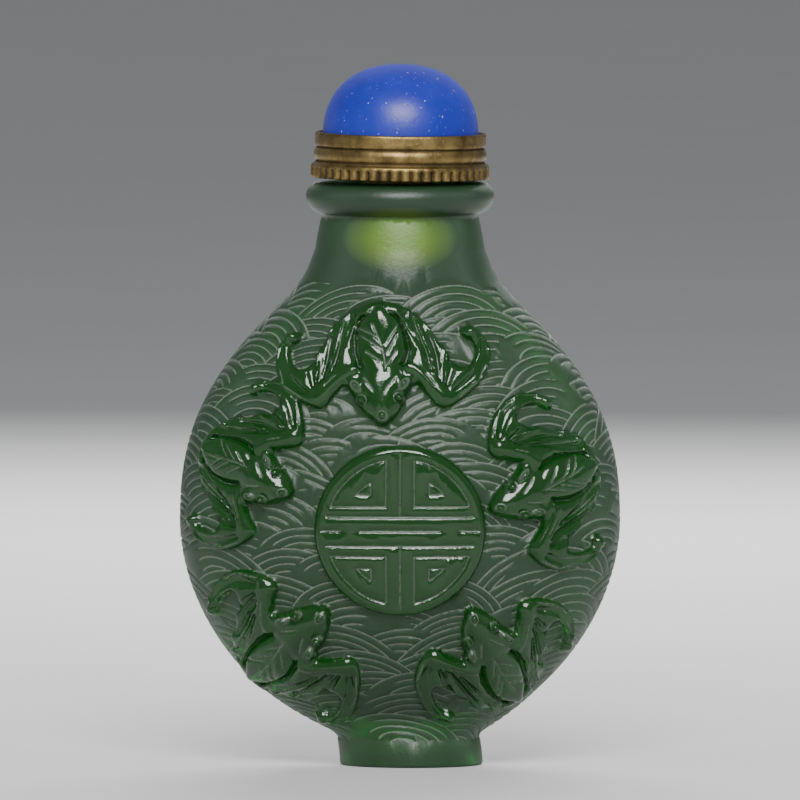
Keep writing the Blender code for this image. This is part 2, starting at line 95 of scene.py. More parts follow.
carved_step, plain_step = 0.12 * MM, 0.7 * MM
dense_heights = np.linspace(foot_height, neck_top, 2000)
dense_widths = outer_half(dense_heights, belly_half_width, foot_half_width)
dense_depths = outer_half(dense_heights, belly_half_depth, foot_half_depth)
climb_length = np.concatenate([[0.0], np.cumsum(np.hypot(
    np.diff(dense_heights), 0.5 * (np.abs(np.diff(dense_widths)) + np.abs(np.diff(dense_depths)))))])
carved_rows = int(climb_length[-1] / carved_step)
row_climb = np.linspace(0.0, climb_length[-1], carved_rows)
carved_heights = np.interp(row_climb, climb_length, dense_heights)

below = []
recess = foot_half_width - foot_rim
side_gap = foot_half_width - foot_half_depth
for share in np.linspace(0.0, 1.0, 8):
    below.append((recess * share, (recess - side_gap) * share, foot_recess))
for radius, height in [(recess + 0.2 * MM, 0.2 * MM), (recess + 0.35 * MM, 0.0)] + arc(
        (foot_half_width - foot_edge, foot_edge), (foot_edge, foot_edge), -90, 0, 5):
    below.append((radius, radius - side_gap, height))
for height in np.linspace(0.3, 0.95, 6) * foot_height:
    below.append((foot_half_width, foot_half_depth, height))

above = []
middle = mouth_top - lip_height * 0.42
bulge = lip_radius - neck_radius
lip = arc((neck_radius, middle), (bulge, middle - neck_top), -78, 0, 16)
lip += arc((neck_radius, middle), (bulge, (mouth_top - middle) * 1.15), 4, 50, 14)
lip += arc((lip_radius - bulge, mouth_top - lip_edge), (lip_edge * 2, lip_edge), 60, 90, 4)
lip += arc((bore_radius + lip_edge, mouth_top - lip_edge), (lip_edge, lip_edge), 90, 180, 6)
above += [(radius, radius, height) for radius, height in lip]
bore_end = belly_centre + belly_rise - wall
floor_height = belly_centre - belly_drop + wall
above += [(bore_radius, bore_radius, height)
          for height in np.arange(mouth_top - lip_edge - plain_step, bore_end, -plain_step)]
inside = list(np.linspace(bore_end, belly_centre, 34))
inside += list(belly_centre + (floor_height - belly_centre) * np.sin(np.linspace(0.05, math.pi / 2, 26)))
above += [(float(inner_half(height, belly_half_width)), float(inner_half(height, belly_half_depth)), height)
          for height in inside]

stations = np.array(below + list(zip(
    np.interp(carved_heights, dense_heights, dense_widths),
    np.interp(carved_heights, dense_heights, dense_depths), carved_heights)) + above)
carved = slice(len(below), len(below) + carved_rows)

# The girth is walked in even steps at the belly, starting and ending at the middle of the back.
girth_angle = np.linspace(0.0, 2 * math.pi, 4001)
girth = np.concatenate([[0.0], np.cumsum(np.hypot(
    belly_half_width * np.diff(np.sin(girth_angle)), belly_half_depth * np.diff(np.cos(girth_angle))))])
columns = int(girth[-1] / carved_step)
angle = np.interp(np.linspace(0.0, girth[-1], columns + 1), girth, girth_angle) - math.pi
place = np.stack([
    stations[:, :1] * np.sin(angle),
    -stations[:, 1:2] * np.cos(angle),
    np.repeat(stations[:, 2:], columns + 1, axis=1)], axis=2)


# The carving. Each broad face has a raised roundel with a fret cut in it, and five bats round it with
# their heads towards it, all left standing when the ground was cut back. Heights are worked out in a
# flat chart of the face, whose distances run over the glass from the roundel's centre.
roundel_height, roundel_radius, roundel_relief, roundel_edge = 25.7 * MM, 9.1 * MM, 1.0 * MM, 0.8 * MM
fret_line, fret_depth = 0.36 * MM, 0.26 * MM
bat_relief_height, bat_plan_length = 1.0 * MM, 12.0


def face_depth(x, z):
    """How far the uncarved face stands out from the bottle's middle plane."""
    share = np.clip(x / np.interp(z, dense_heights, dense_widths), -1.0, 1.0)
    return np.interp(z, dense_heights, dense_depths) * np.sqrt(1.0 - share ** 2)


def face_chart(x, z, steps=24):
    """Lays a broad face flat round the roundel's centre."""
    rise = z - roundel_height
    straight = np.hypot(x, rise)
    length = np.zeros_like(x)
    depth = face_depth(np.zeros_like(x), np.full_like(x, roundel_height))
    for step in range(1, steps + 1):
        next_depth = face_depth(x * step / steps, roundel_height + rise * step / steps)
        length += np.hypot(straight / steps, next_depth - depth)
        depth = next_depth
    stretch = length / np.maximum(straight, 1e-9)
    return x * stretch, rise * stretch


def segment_distance(x, y, start, end):
    """Distance to a straight line between two points, and how far along it the nearest point is."""
    run = (end[0] - start[0], end[1] - start[1])
    square = run[0] ** 2 + run[1] ** 2
    along = np.clip(((x - start[0]) * run[0] + (y - start[1]) * run[1]) / square, 0.0, 1.0)
    return np.hypot(x - start[0] - along * run[0], y - start[1] - along * run[1]), along


def rounded(share):
    """Cross section of carved relief: 1 in the middle, falling to 0 where the share reaches 1."""
    return np.clip(1.0 - share ** 2, 0.0, 1.0) ** 0.6


def ridge(x, y, points, widths, height, pieces=8):
    """A rounded ridge along a bent line through three points, with a width at each of them."""
    start, bend, end = (np.array(point, dtype=float) for point in points)
    control = 2.0 * bend - 0.5 * (start + end)
    raised = np.zeros_like(x)
    for piece in range(pieces):
        ends = []
        for t in (piece / pieces, (piece + 1) / pieces):
            spot = (1 - t) ** 2 * start + 2 * t * (1 - t) * control + t ** 2 * end
            ends.append((spot, np.interp(t, (0.0, 0.5, 1.0), widths)))
        distance, along = segment_distance(x, y, ends[0][0], ends[1][0])
        reach = ends[0][1] + (ends[1][1] - ends[0][1]) * along
        raised = np.maximum(raised, height * rounded(distance / reach))
    return raised


def mound(x, y, centre, radii, height, turn=0.0):
    """A rounded oval boss, turned by an angle in degrees."""
    c, s = math.cos(math.radians(turn)), math.sin(math.radians(turn))
    across = ((x - centre[0]) * c + (y - centre[1]) * s) / radii[0]
    along = ((y - centre[1]) * c - (x - centre[0]) * s) / radii[1]
    return height * rounded(np.hypot(across, along))


def smoothed(points, pieces=4):
    """Rounds a closed outline: every corner becomes part of a smooth curve through all the points."""
    corners = np.array(points)
    before, after, beyond = np.roll(corners, 1, 0), np.roll(corners, -1, 0), np.roll(corners, -2, 0)
    curve = []
    for t in np.arange(pieces) / pieces:
        curve.append(0.5 * (2 * corners + (after - before) * t + (
            2 * before - 5 * corners + 4 * after - beyond) * t ** 2 + (
            3 * corners - before - 3 * after + beyond) * t ** 3))
    return [tuple(point) for point in np.stack(curve, axis=1).reshape(-1, 2)]


def inside_distance(x, y, outline):
    """Distance from a closed outline, more than 0 inside it and less than 0 outside."""
    nearest = np.full_like(x, 99.0)
    inside = np.zeros(x.shape, dtype=bool)
    for start, end in zip(outline, outline[1:] + outline[:1]):
        nearest = np.minimum(nearest, segment_distance(x, y, start, end)[0])
        if start[1] != end[1]:
            crossing = start[0] + (y - start[1]) * (end[0] - start[0]) / (end[1] - start[1])
            inside ^= ((start[1] > y) != (end[1] > y)) & (x < crossing)
    return np.where(inside, nearest, -nearest)


def cut(x, y, start, end, half_width):
    """Strength of a thin cut line, 1 at its middle."""
    distance, along = segment_distance(x, y, start, end)
    taper = np.clip(np.minimum(along, 1.0 - along) * 4.0 + 0.45, 0.0, 1.0)
    return np.clip(1.0 - distance / half_width, 0.0, 1.0) * taper


def ring_cut(x, y, centre, radius, half_width):
    """Strength of a thin cut ring round a point."""
    distance = np.abs(np.hypot(x - centre[0], y - centre[1]) - radius)
    return np.clip(1.0 - distance / half_width, 0.0, 1.0)


# A bat in its own plan, in millimetres of a bat 12 mm long with its nose towards +y. The outline runs
# from the tail round one wing and its hooked tip to the nose, and the other half mirrors it.
bat_outline = smoothed((
    (-3.0, -6.1), (0.0, -6.1), (1.5, -5.9), (2.9, -5.3), (4.1, -4.6), (5.0, -3.6), (5.6, -2.5),
    (6.4, -1.3), (7.3, 0.1), (8.2, 0.35), (8.9, 0.0), (9.2, -0.9), (9.1, -1.8), (8.6, -2.5), (7.9, -3.0),
    (8.1, -3.5), (9.1, -3.6), (10.2, -2.8), (10.8, -1.3), (10.7, 0.2), (10.2, 1.6), (9.3, 2.7),
    (8.0, 3.7), (6.6, 4.3), (5.5, 4.2), (4.8, 3.3), (4.3, 2.4), (3.7, 2.0), (3.1, 2.4), (2.1, 4.0),
    (1.25, 5.3), (0.65, 6.05), (0.0, 6.2), (-3.0, 6.2)))
bat_edge, plate_height, hollow_depth = 0.8, 0.95, 0.45
wing_arm, wing_arm_widths = ((2.6, 0.4), (4.1, 1.2), (6.2, 3.2)), (0.9, 0.9, 1.2)
wing_hollows = (
    (((2.6, -4.7), (3.6, -2.6), (4.9, 0.6)), (0.55, 0.55, 0.25)),
    (((3.9, -4.1), (4.9, -1.8), (5.6, 1.4)), (0.55, 0.5, 0.25)),
    (((5.0, -2.7), (5.7, -0.8), (6.0, 1.8)), (0.5, 0.6, 0.25)),
    (((6.7, -0.5), (6.75, 0.8), (6.5, 2.2)), (0.4, 0.5, 0.22)),
    (((9.9, -2.0), (9.75, 0.6), (7.4, 2.8)), (0.35, 0.75, 0.4)),
)
leaf_places = (-4.9, -4.2, -3.0, -1.4, 0.0, 1.0, 1.9)
leaf_widths = (1.3, 2.2, 2.65, 2.8, 2.4, 1.4, 0.2)
head_line, head_widths = ((0.0, 2.2), (0.0, 3.8), (0.0, 5.4)), (2.9, 2.1, 0.85)
ear_centre, eye_centre, nose_centre = (2.3, 2.2), (1.8, 3.6), (0.0, 5.3)


def bat_heights(x, y):
    """Height of one bat in its own plan, and the strength of the fine lines cut into it."""
    side = np.abs(x)
    inward = np.clip(inside_distance(side, y, bat_outline) / bat_edge, 0.0, 1.0)
    plate = plate_height * np.sqrt(1.0 - (1.0 - inward) ** 2)
    raised = np.maximum(plate, ridge(side, y, wing_arm, wing_arm_widths, 1.15))
    for points, widths in wing_hollows:
        raised -= ridge(side, y, points, widths, hollow_depth) * (plate > 0.0)
    raised = np.maximum(raised, mound(side, y, (8.9, -3.0), (0.9, 0.75), 1.2))
    lines = cut(side, y, (3.2, -4.9), (4.6, -0.4), 0.13)
    lines = np.maximum(lines, cut(side, y, (9.6, 2.0), (7.6, 3.5), 0.15))
    lines = np.maximum(lines, cut(side, y, (10.3, 0.2), (9.6, 2.0), 0.15))
    lines = np.maximum(lines, cut(side, y, (4.2, 0.9), (5.4, 2.2), 0.13))
    on_leaf = (y > leaf_places[0]) & (y < leaf_places[-1])
    share = side / np.interp(y, leaf_places, leaf_widths)
    leaf = np.where(on_leaf, 1.4 * rounded(share), 0.0)
    on_leaf &= share < 1.0
    raised = np.maximum(np.where(on_leaf, leaf, raised), leaf) - 0.35 * np.clip(
        1.0 - np.abs(share - 1.0) * 4.0, 0.0, 1.0) * (y > leaf_places[0]) * (y < leaf_places[-1])
    veins = cut(x, y, (0.5, -3.9), (-0.1, -1.6), 0.17)
    veins = np.maximum(veins, cut(x, y, (-0.1, -1.6), (-0.5, 1.3), 0.17))
    for root, reach_across, reach_up in ((-2.2, 2.1, -1.5), (-1.2, 1.9, -1.6), (0.1, 1.6, -1.3)):
        veins = np.maximum(veins, cut(x, y, (-0.1, root), (reach_across, root + reach_up), 0.16))
        other_end = (-0.25 - reach_across * 0.75, root + reach_up)
        veins = np.maximum(veins, cut(x, y, (-0.4, root + 0.5), other_end, 0.16))
    lines = np.where(on_leaf, veins, lines)
    tail = mound(x, y, (0.0, -4.75), (1.3, 1.15), 1.4)
    lines = np.where(tail > raised, ring_cut(x, y, (-0.1, -4.85), 0.85, 0.2), lines)
    raised = np.maximum(raised, tail)
    head = ridge(x, y, head_line, head_widths, 1.6)
    lines = np.where(head > raised, 0.0, lines)
    raised = np.maximum(raised, head)
    lines = np.maximum(lines, cut(side, y, (0.5, 2.9), (1.6, 1.3), 0.2))
    for centre, radii, height, ring, turn in (
            (ear_centre, (0.7, 1.15), 1.75, 0.0, 35.0), (eye_centre, (0.7, 0.7), 1.9, 0.48, 0.0),
            (nose_centre, (0.7, 0.7), 1.85, 0.45, 0.0)):
        raised = np.maximum(raised, mound(side, y, centre, radii, height, turn))
        if ring:
            lines = np.maximum(lines, ring_cut(side, y, centre, ring, 0.17))
    in_ear = mound(side, y, ear_centre, (0.42, 0.8), 1.0, 35.0)
    lines = np.maximum(lines, np.clip(in_ear * (1.0 - in_ear) * 4.0, 0.0, 1.0))
    return raised, lines


# The five bats of a face: direction from the roundel in degrees, distance over the glass, how far the
# bat is turned off the straight line to the roundel, its length, and how wide it is spread.
bats = (
    (96.5, 17.8 * MM, -5.5, 12.9 * MM, 1.0),
    (158.6, 18.05 * MM, -7.0, 12.1 * MM, 0.92),
    (17.0, 16.7 * MM, 6.0, 13.4 * MM, 0.84),
    (226.0, 18.5 * MM, -2.0, 13.8 * MM, 0.85),
    (306.0, 18.0 * MM, -8.0, 13.4 * MM, 0.81),
)

# The fret, as shares of the roundel's radius. Each line stands for one quarter and its three mirrors.
fret_lines = (
    ((0.0, 0.17), (0.84, 0.17)), ((0.0, 0.0), (0.46, 0.0)), ((0.68, 0.0), (0.96, 0.0)),
    ((0.0, 0.17), (0.0, 0.95)), ((0.16, 0.29), (0.16, 0.83)), ((0.16, 0.29), (0.79, 0.29)),
    ((0.33, 0.43), (0.33, 0.57)), ((0.33, 0.43), (0.50, 0.43)),
)
fret_arcs = ((0.845, 20.0, 79.0), (0.66, 41.0, 60.0))


def roundel_heights(x, y):
    """Height of the raised disc, and the strength of the fret's cut lines."""
    radius = np.hypot(x, y)
    beyond = np.clip((radius - roundel_radius + roundel_edge) / roundel_edge, 0.0, 1.0)
    across, up = np.abs(x) / roundel_radius, np.abs(y) / roundel_radius
    nearest = np.full_like(x, 1.0)
    for start, end in fret_lines:
        nearest = np.minimum(nearest, segment_distance(across, up, start, end)[0])
    bearing = np.degrees(np.arctan2(up, across))
    for share, first, last in fret_arcs:
        on_arc = (bearing > first) & (bearing < last)
        nearest = np.where(on_arc, np.minimum(nearest, np.abs(np.hypot(across, up) - share)), nearest)
    chatter = 1.0 + 0.25 * np.sin(x / MM * 9.0 + 2.0 * np.sin(y / MM * 3.1)) * np.sin(y / MM * 8.3)
    groove = np.clip(1.0 - nearest * roundel_radius / (fret_line / 2 * chatter), 0.0, 1.0)
    return roundel_relief * np.sqrt(1.0 - beyond ** 2), groove * (beyond <= 0.0)


def carve_face(x, z):
    """Height of the relief on a broad face and the strength of the lines cut into it."""
    across, up = face_chart(x, z)
    raised, fret = roundel_heights(across, up)
    raised -= fret_depth * fret
    lines = fret.copy()
    for direction, distance, turn, length, spread in bats:
        towards = math.radians(direction)
        heading = towards + math.pi + math.radians(turn)
        unit = length / bat_plan_length
        east = across - distance * math.cos(towards)
        north = up - distance * math.sin(towards)
        plan_y = (east * math.cos(heading) + north * math.sin(heading)) / unit
        plan_x = (east * math.sin(heading) - north * math.cos(heading)) / unit / spread
        wander = 0.13 * np.sin(plan_y * 0.9 + direction)
        plan_x, plan_y = plan_x + wander, plan_y + 0.13 * np.sin(plan_x * 0.7 + direction)
        near = np.hypot(plan_x, plan_y) < bat_plan_length * 1.1
        bat, strokes = bat_heights(plan_x[near], plan_y[near])
        bat = (bat - 0.2 * strokes * (bat > 0.3)) * bat_relief_height
        on_top = bat > raised[near]
        raised[near] = np.where(on_top, bat, raised[near])
        lines[near] = np.where(on_top, strokes, lines[near])
    return raised, lines


surface = place[carved]
round_step = np.roll(surface[:, :-1], -1, axis=1) - np.roll(surface[:, :-1], 1, axis=1)
round_step = np.concatenate([round_step, round_step[:, :1]], axis=1)
normal = np.cross(round_step, np.gradient(surface, axis=0))
normal /= np.linalg.norm(normal, axis=2, keepdims=True)
raised, lines = np.zeros(surface.shape[:2]), np.zeros(surface.shape[:2])
for facing in (1.0, -1.0):
    face = surface[:, :, 1] * facing <= 0.0
    raised[face], lines[face] = carve_face(surface[:, :, 0][face] * facing, surface[:, :, 2][face])

# The engraved ground. Round the whole body between foot and neck the ground is covered with overlapping
# fans of hair-fine arcs, cut freehand: the fans of a lower row lie over those of the row above.
fan_rise, fan_half_width, fan_row_step, fan_spacing = 4.9 * MM, 6.6 * MM, 2.9 * MM, 6.6 * MM
arc_pitch, arc_half_width, arc_depth = 0.84 * MM, 0.13 * MM, 0.16 * MM
wave_top = 54.0 * MM
dice = np.random.default_rng(7)
around = np.concatenate([np.zeros((carved_rows, 1)), np.cumsum(
    np.linalg.norm(np.diff(surface, axis=1), axis=2), axis=1)], axis=1)
last_row = np.interp(wave_top, dense_heights, climb_length) - fan_rise
waves = np.zeros_like(raised)
taken = np.zeros(raised.shape, dtype=bool)
for fan_row in range(int(last_row / fan_row_step) + 1):
    root = fan_row * fan_row_step - 1.2 * MM
    rows = np.flatnonzero((row_climb > root - 0.4 * fan_rise) & (row_climb < root + fan_rise * 1.15))
    band = slice(rows[0], rows[-1] + 1)
    perimeter = around[band, -1:]
    fans = max(6, int(round(float(np.median(perimeter)) / fan_spacing)))
    shift, lift = dice.uniform(-0.16, 0.16, fans), dice.uniform(-0.3, 0.3, fans) * MM
    tilt, grow = dice.uniform(-0.55, 0.55, fans), dice.uniform(0.85, 1.12, fans)
    on_top = dice.permutation(fans) + 1.0
    missing = dice.uniform(0.55, 1.0, (fans, 9))
    share = around[band] / perimeter * fans - 0.5 * (fan_row % 2)
    best = np.zeros(share.shape)
    strength = np.zeros(share.shape)
    for step in (-1, 0, 1):
        index = np.rint(share).astype(int) + step
        fan = index % fans
        across = (share - index - shift[fan]) * perimeter / fans
        upward = row_climb[band, None] - root - lift[fan]
        turned_x = (across * np.cos(tilt[fan]) + upward * np.sin(tilt[fan])) / fan_half_width * fan_rise
        turned_y = upward * np.cos(tilt[fan]) - across * np.sin(tilt[fan])
        reach = np.hypot(turned_x, turned_y) / grow[fan]
        count = (fan_rise - reach) / arc_pitch
        line = np.clip(np.rint(count), 0, 8).astype(int)
        off_line = np.abs(count - line) * arc_pitch
        spread = np.abs(np.arctan2(turned_x, np.maximum(turned_y, 1e-6)))
        ends = np.clip((missing[fan, line] * 1.45 - spread) * 5.0, 0.0, 1.0)
        drawn = np.clip(1.0 - off_line / arc_half_width, 0.0, 1.0) * ends * (reach > 0.9 * MM)
        over = (on_top[fan] > best) & (reach < fan_rise + arc_half_width) & (turned_y > -0.3 * fan_rise)
        best = np.where(over, on_top[fan], best)
        strength = np.where(over, drawn, strength)
    fresh = (best > 0.0) & ~taken[band]
    waves[band] = np.where(fresh, strength, waves[band])
    taken[band] |= fresh
waves *= raised <= 0.02 * MM
place[carved] += normal * (raised - arc_depth * waves)[:, :, None]
fade = np.clip(1.0 - place[:, :, 2] / foot_shift_fade, 0.0, 1.0)
place[:, :, 0] += foot_shift * fade ** 2 * (3.0 - 2.0 * fade)

# The glass is one closed body: a sheet of small panels is rolled up along the outline, its seam and the
# middles of the base and the floor are closed, and the facets that nothing needs are merged. Its marks
# keep the strength of the cut lines in red and the height of the relief in green.
marks = np.zeros((len(stations), columns + 1, 4), dtype=np.float32)
marks[carved, :, 0] = np.maximum(waves, lines)
marks[carved, :, 1] = np.clip(raised / (0.35 * MM), 0.0, 1.0)
marks[:, :, 3] = 1.0
sheet = bmesh.new()
bmesh.ops.create_grid(sheet, x_segments=columns, y_segments=len(stations) - 1, size=1.0)
bottle_mesh = bpy.data.meshes.new("bottle_glass")
sheet.to_mesh(bottle_mesh)
sheet.free()
flat = np.empty(len(bottle_mesh.vertices) * 3, dtype=np.float32)
bottle_mesh.vertices.foreach_get("co", flat)
flat = flat.reshape(-1, 3)
column = np.rint((flat[:, 0] + 1.0) / 2.0 * columns).astype(int)
row = np.rint((flat[:, 1] + 1.0) / 2.0 * (len(stations) - 1)).astype(int)
bottle_mesh.vertices.foreach_set("co", place[row, column].astype(np.float32).ravel())
carving_marks = bottle_mesh.attributes.new("carving", "FLOAT_COLOR", "POINT")
carving_marks.data.foreach_set("color", marks[row, column].ravel())
closed = bmesh.new()
closed.from_mesh(bottle_mesh)
bmesh.ops.remove_doubles(closed, verts=closed.verts, dist=1e-7)
bmesh.ops.recalc_face_normals(closed, faces=closed.faces)
closed.to_mesh(bottle_mesh)
closed.free()
fine_bottle = bpy.data.objects.new("fine_bottle", bottle_mesh)
bpy.context.scene.collection.objects.link(fine_bottle)
thinner = fine_bottle.modifiers.new("Merge facets", "DECIMATE")
thinner.ratio = 190000 / (2 * len(bottle_mesh.polygons))
depsgraph = bpy.context.evaluated_depsgraph_get()
glass_mesh = bpy.data.meshes.new_from_object(fine_bottle.evaluated_get(depsgraph), depsgraph=depsgraph)
bpy.data.objects.remove(fine_bottle)
glass_mesh.shade_smooth()
bottle = bpy.data.objects.new("bottle_glass", glass_mesh)
bpy.context.scene.collection.objects.link(bottle)


class Value:
    """A number or colour that changes over a surface. Sums on it become Math nodes."""

    def __init__(self, finish, socket):
        self.finish, self.socket = finish, socket

    def maths(self, operation, *terms):
        return self.finish.node("ShaderNodeMath", {"operation": operation}, dict(enumerate(terms)))

    def __add__(self, other):
        return self.maths("ADD", self, other)

    def __sub__(self, other):
        return self.maths("SUBTRACT", self, other)

    def __rsub__(self, other):
        return self.maths("SUBTRACT", other, self)

    def __mul__(self, other):
        return self.maths("MULTIPLY", self, other)

    def __pow__(self, other):
        return self.maths("POWER", self, other)

    __radd__, __rmul__ = __add__, __mul__

    def between(self, low, high):
        """0 below the low value, 1 above the high one."""
        sockets = {"Value": self, "From Min": low, "From Max": high}
        return self.finish.node("ShaderNodeMapRange", {"clamp": True}, sockets)


class Finish:
    """One material, with nodes round a Principled shader."""

    def __init__(self, name, **uniform):
        self.material = bpy.data.materials.new(name)
        self.material.use_nodes = True
        self.tree = self.material.node_tree
        self.shader = self.tree.nodes["Principled BSDF"]
        for socket, value in uniform.items():
            self.shader.inputs[socket.replace("_", " ")].default_value = value

    def node(self, kind, settings, sockets, output=0):
        """Adds a node: its settings first, then the values or links of its sockets."""
        made = self.tree.nodes.new(kind)
        for setting, value in settings.items():
            setattr(made, setting, value)
        for socket, value in sockets.items():
            if isinstance(value, Value):
                self.tree.links.new(value.socket, made.inputs[socket])
            else:
                made.inputs[socket].default_value = value
        return Value(self, made.outputs[output])

    def mix(self, share, first, second):
        """Mixes two colours: the first where the share is 0, the second where it is 1."""
        return self.node("ShaderNodeMix", {"data_type": "RGBA"}, {0: share, 6: first, 7: second}, 2)

    def noise(self, scale, detail=3.0, roughness=0.55, distortion=0.0):
        """Cloudy variation in the piece's own space, with features about 1/scale metres long."""
        spot = self.node("ShaderNodeTexCoord", {}, {}, "Object")
        return self.node("ShaderNodeTexNoise", {}, {
            "Vector": spot, "Scale": scale, "Detail": detail, "Roughness": roughness,
            "Distortion": distortion})

    def feed(self, **links):
        """Joins values to the shader's sockets."""
        for socket, value in links.items():
            self.tree.links.new(value.socket, self.shader.inputs[socket.replace("_", " ")])

    def bump(self, height, distance):
        """Turns heights of 0 to 1 into a surface normal, a full step being the distance in metres."""
        return self.node("ShaderNodeBump", {}, {"Height": height, "Distance": distance})


# Green glass. Light goes through it and comes out deep emerald. The ground is left satin from the wheel
# and its cut arcs are pale with grit; the relief is polished. A patch of the neck under the lip, in the
# middle of each face, is coloured yellow-green as if bright light came through it.
glass = Finish("green_glass", Transmission_Weight=0.88, IOR=1.5, Specular_IOR_Level=0.2)
marks_of = glass.node("ShaderNodeVertexColor", {"layer_name": "carving"}, {}, "Color")
split = glass.node("ShaderNodeSeparateColor", {}, {"Color": marks_of})
lines_on = Value(glass, split.socket)
relief_on = Value(glass, split.socket.node.outputs[1])
cloud = glass.noise(160.0, detail=4.0)
grit = glass.noise(5200.0, detail=2.0).between(0.5, 0.72)
satin = (0.04, 0.17, 0.05, 1.0)  # ground, then relief, neck glow and cut lines
deep = (0.022, 0.20, 0.022, 1.0)
lit = (0.55, 0.95, 0.05, 1.0)
pale = (0.80, 0.90, 0.78, 1.0)
skin = glass.mix((relief_on * 0.9 + cloud * 0.1).between(0.1, 0.8), satin, deep)
spot_on_glass = glass.node("ShaderNodeTexCoord", {}, {}, "Object")
apart = glass.node("ShaderNodeSeparateXYZ", {}, {"Vector": spot_on_glass})
across = Value(glass, apart.socket.node.outputs[0])
below_lip = Value(glass, apart.socket.node.outputs[2]) - (neck_top - 2.3 * MM)
off_glow = (across * across + below_lip * below_lip * 3.0) ** 0.5
skin = glass.mix(off_glow.between(6.2 * MM, 2.4 * MM) * 0.95, skin, lit)
skin = glass.mix(lines_on.between(0.25, 0.7) * (0.95 - relief_on * 0.6), skin, pale)
glass.feed(Base_Color=skin)
polish = 0.42 - relief_on * 0.28 + lines_on * 0.2 + (cloud - 0.5) * 0.12
glass.feed(Roughness=polish.between(0.0, 1.0))
scratch = glass.noise(2600.0, detail=3.0, distortion=0.6)
glass.feed(Normal=glass.bump(scratch * (1.0 - relief_on * 0.7) + grit * lines_on * 0.6, 0.00003))
depth_of_green = glass.node(
    "ShaderNodeVolumeAbsorption", {}, {"Color": (0.05, 0.62, 0.12, 1.0), "Density": 430.0})
glass.tree.links.new(depth_of_green.socket, glass.tree.nodes["Material Output"].inputs["Volume"])
bottle.data.materials.clear()
bottle.data.materials.append(glass.material)
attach(bottle, "root")
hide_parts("bottle")

# The stopper's collar. Turned from brass in one piece: a knurled ring under a sloped ledge, a rounded
# bead and a plain band that holds the dome, with a pocket above and a socket below for the cork. It
# rests on the lip, leaning a little to the right.
seat_gap, stopper_lean = 0.3 * MM, math.radians(0.8)
knurl_radius, knurl_height, knurl_depth, knurl_teeth = 9.5 * MM, 1.8 * MM, 0.35 * MM, 50
bead_radius, bead_height = 9.2 * MM, 1.5 * MM
band_radius, band_height, bezel_wall = 9.1 * MM, 1.55 * MM, 0.5 * MM
collar_groove, bead_depth, pocket_depth, socket_depth = 0.28 * MM, 0.45 * MM, 1.3 * MM, 1.2 * MM
bead_floor = knurl_height
band_floor = bead_floor + bead_height
collar_top = band_floor + band_height


def turned_mesh(name, outline, steps):
    """Turns an outline of (radius, height) points, which begins and ends on the axis, into a body."""
    body = bmesh.new()
    verts = [body.verts.new((radius, 0.0, height)) for radius, height in outline]
    edges = [body.edges.new(pair) for pair in zip(verts, verts[1:])]
    bmesh.ops.spin(body, geom=verts + edges, cent=(0, 0, 0), axis=(0, 0, 1), angle=2 * math.pi,
                   steps=steps, use_merge=True)
    bmesh.ops.remove_doubles(body, verts=body.verts, dist=1e-7)
    bmesh.ops.recalc_face_normals(body, faces=body.faces)
    mesh = bpy.data.meshes.new(name)
    body.to_mesh(mesh)
    body.free()
    mesh.shade_smooth()
    return mesh


def vertex_array(mesh):
    """The places of a mesh's vertices, one row for each."""
    values = np.empty(len(mesh.vertices) * 3, dtype=np.float32)
    mesh.vertices.foreach_get("co", values)
    return values.reshape(-1, 3).astype(float)


def seat_on_mouth(name, mesh, finish, node):
    """Sets a piece of the stopper on the mouth with the stopper's lean, as its node is."""
    seat = mouth_top + seat_gap + knurl_radius * math.sin(stopper_lean)
    spot = vertex_array(mesh)
    c, s = math.cos(stopper_lean), math.sin(stopper_lean)
    spot = np.stack([
        spot[:, 0] * c + spot[:, 2] * s, spot[:, 1], spot[:, 2] * c - spot[:, 0] * s + seat], axis=1)
    mesh.vertices.foreach_set("co", spot.astype(np.float32).ravel())
    mesh.update()
    mesh.materials.append(finish.material)
    piece = bpy.data.objects.new(name, mesh)
    bpy.context.scene.collection.objects.link(piece)
    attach(piece, "root")
    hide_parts(node)


collar_outline = [(0.0, socket_depth), (bore_radius, socket_depth), (bore_radius, 0.0)]
collar_outline += arc((knurl_radius - 0.25 * MM, 0.25 * MM), (0.25 * MM, 0.25 * MM), -90, 0, 4)
collar_outline += [(knurl_radius, knurl_height * share) for share in (0.25, 0.4, 0.5, 0.58)]
collar_outline += arc((bead_radius, knurl_height * 0.6),
                      (knurl_radius - bead_radius, knurl_height * 0.25), 20, 90, 4)
collar_outline += [(bead_radius - collar_groove, bead_floor)]
collar_outline += arc((bead_radius - bead_depth, bead_floor + bead_height / 2),
                      (bead_depth, bead_height / 2 * 0.96), -68, 68, 13)
collar_outline += [(band_radius - collar_groove, band_floor)]
collar_outline += arc((band_radius - 0.2 * MM, band_floor + 0.3 * MM), (0.2 * MM, 0.2 * MM), -60, 0, 4)
collar_outline += [(band_radius, band_floor + band_height * share) for share in (0.35, 0.55, 0.75)]
collar_outline += arc((band_radius - 0.25 * MM, collar_top - 0.25 * MM), (0.25 * MM, 0.25 * MM), 0, 150, 7)
pocket_radius = band_radius - bezel_wall
collar_outline += [(pocket_radius, collar_top - pocket_depth), (0.0, collar_top - pocket_depth)]
collar_mesh = turned_mesh("collar_brass", collar_outline, knurl_teeth * 8)
spot = vertex_array(collar_mesh)
reach = np.hypot(spot[:, 0], spot[:, 1])
tooth_turn = np.arctan2(spot[:, 1], spot[:, 0]) * knurl_teeth
tooth_fade = np.clip((reach - bead_radius + 0.4 * MM) / (0.4 * MM), 0.0, 1.0)
tooth_fade *= np.clip((knurl_height * 0.66 - spot[:, 2]) / (knurl_height * 0.1), 0.0, 1.0)
dent = knurl_depth * (1.0 - np.abs(np.cos(tooth_turn / 2.0)) ** 0.7) * tooth_fade * 1.3
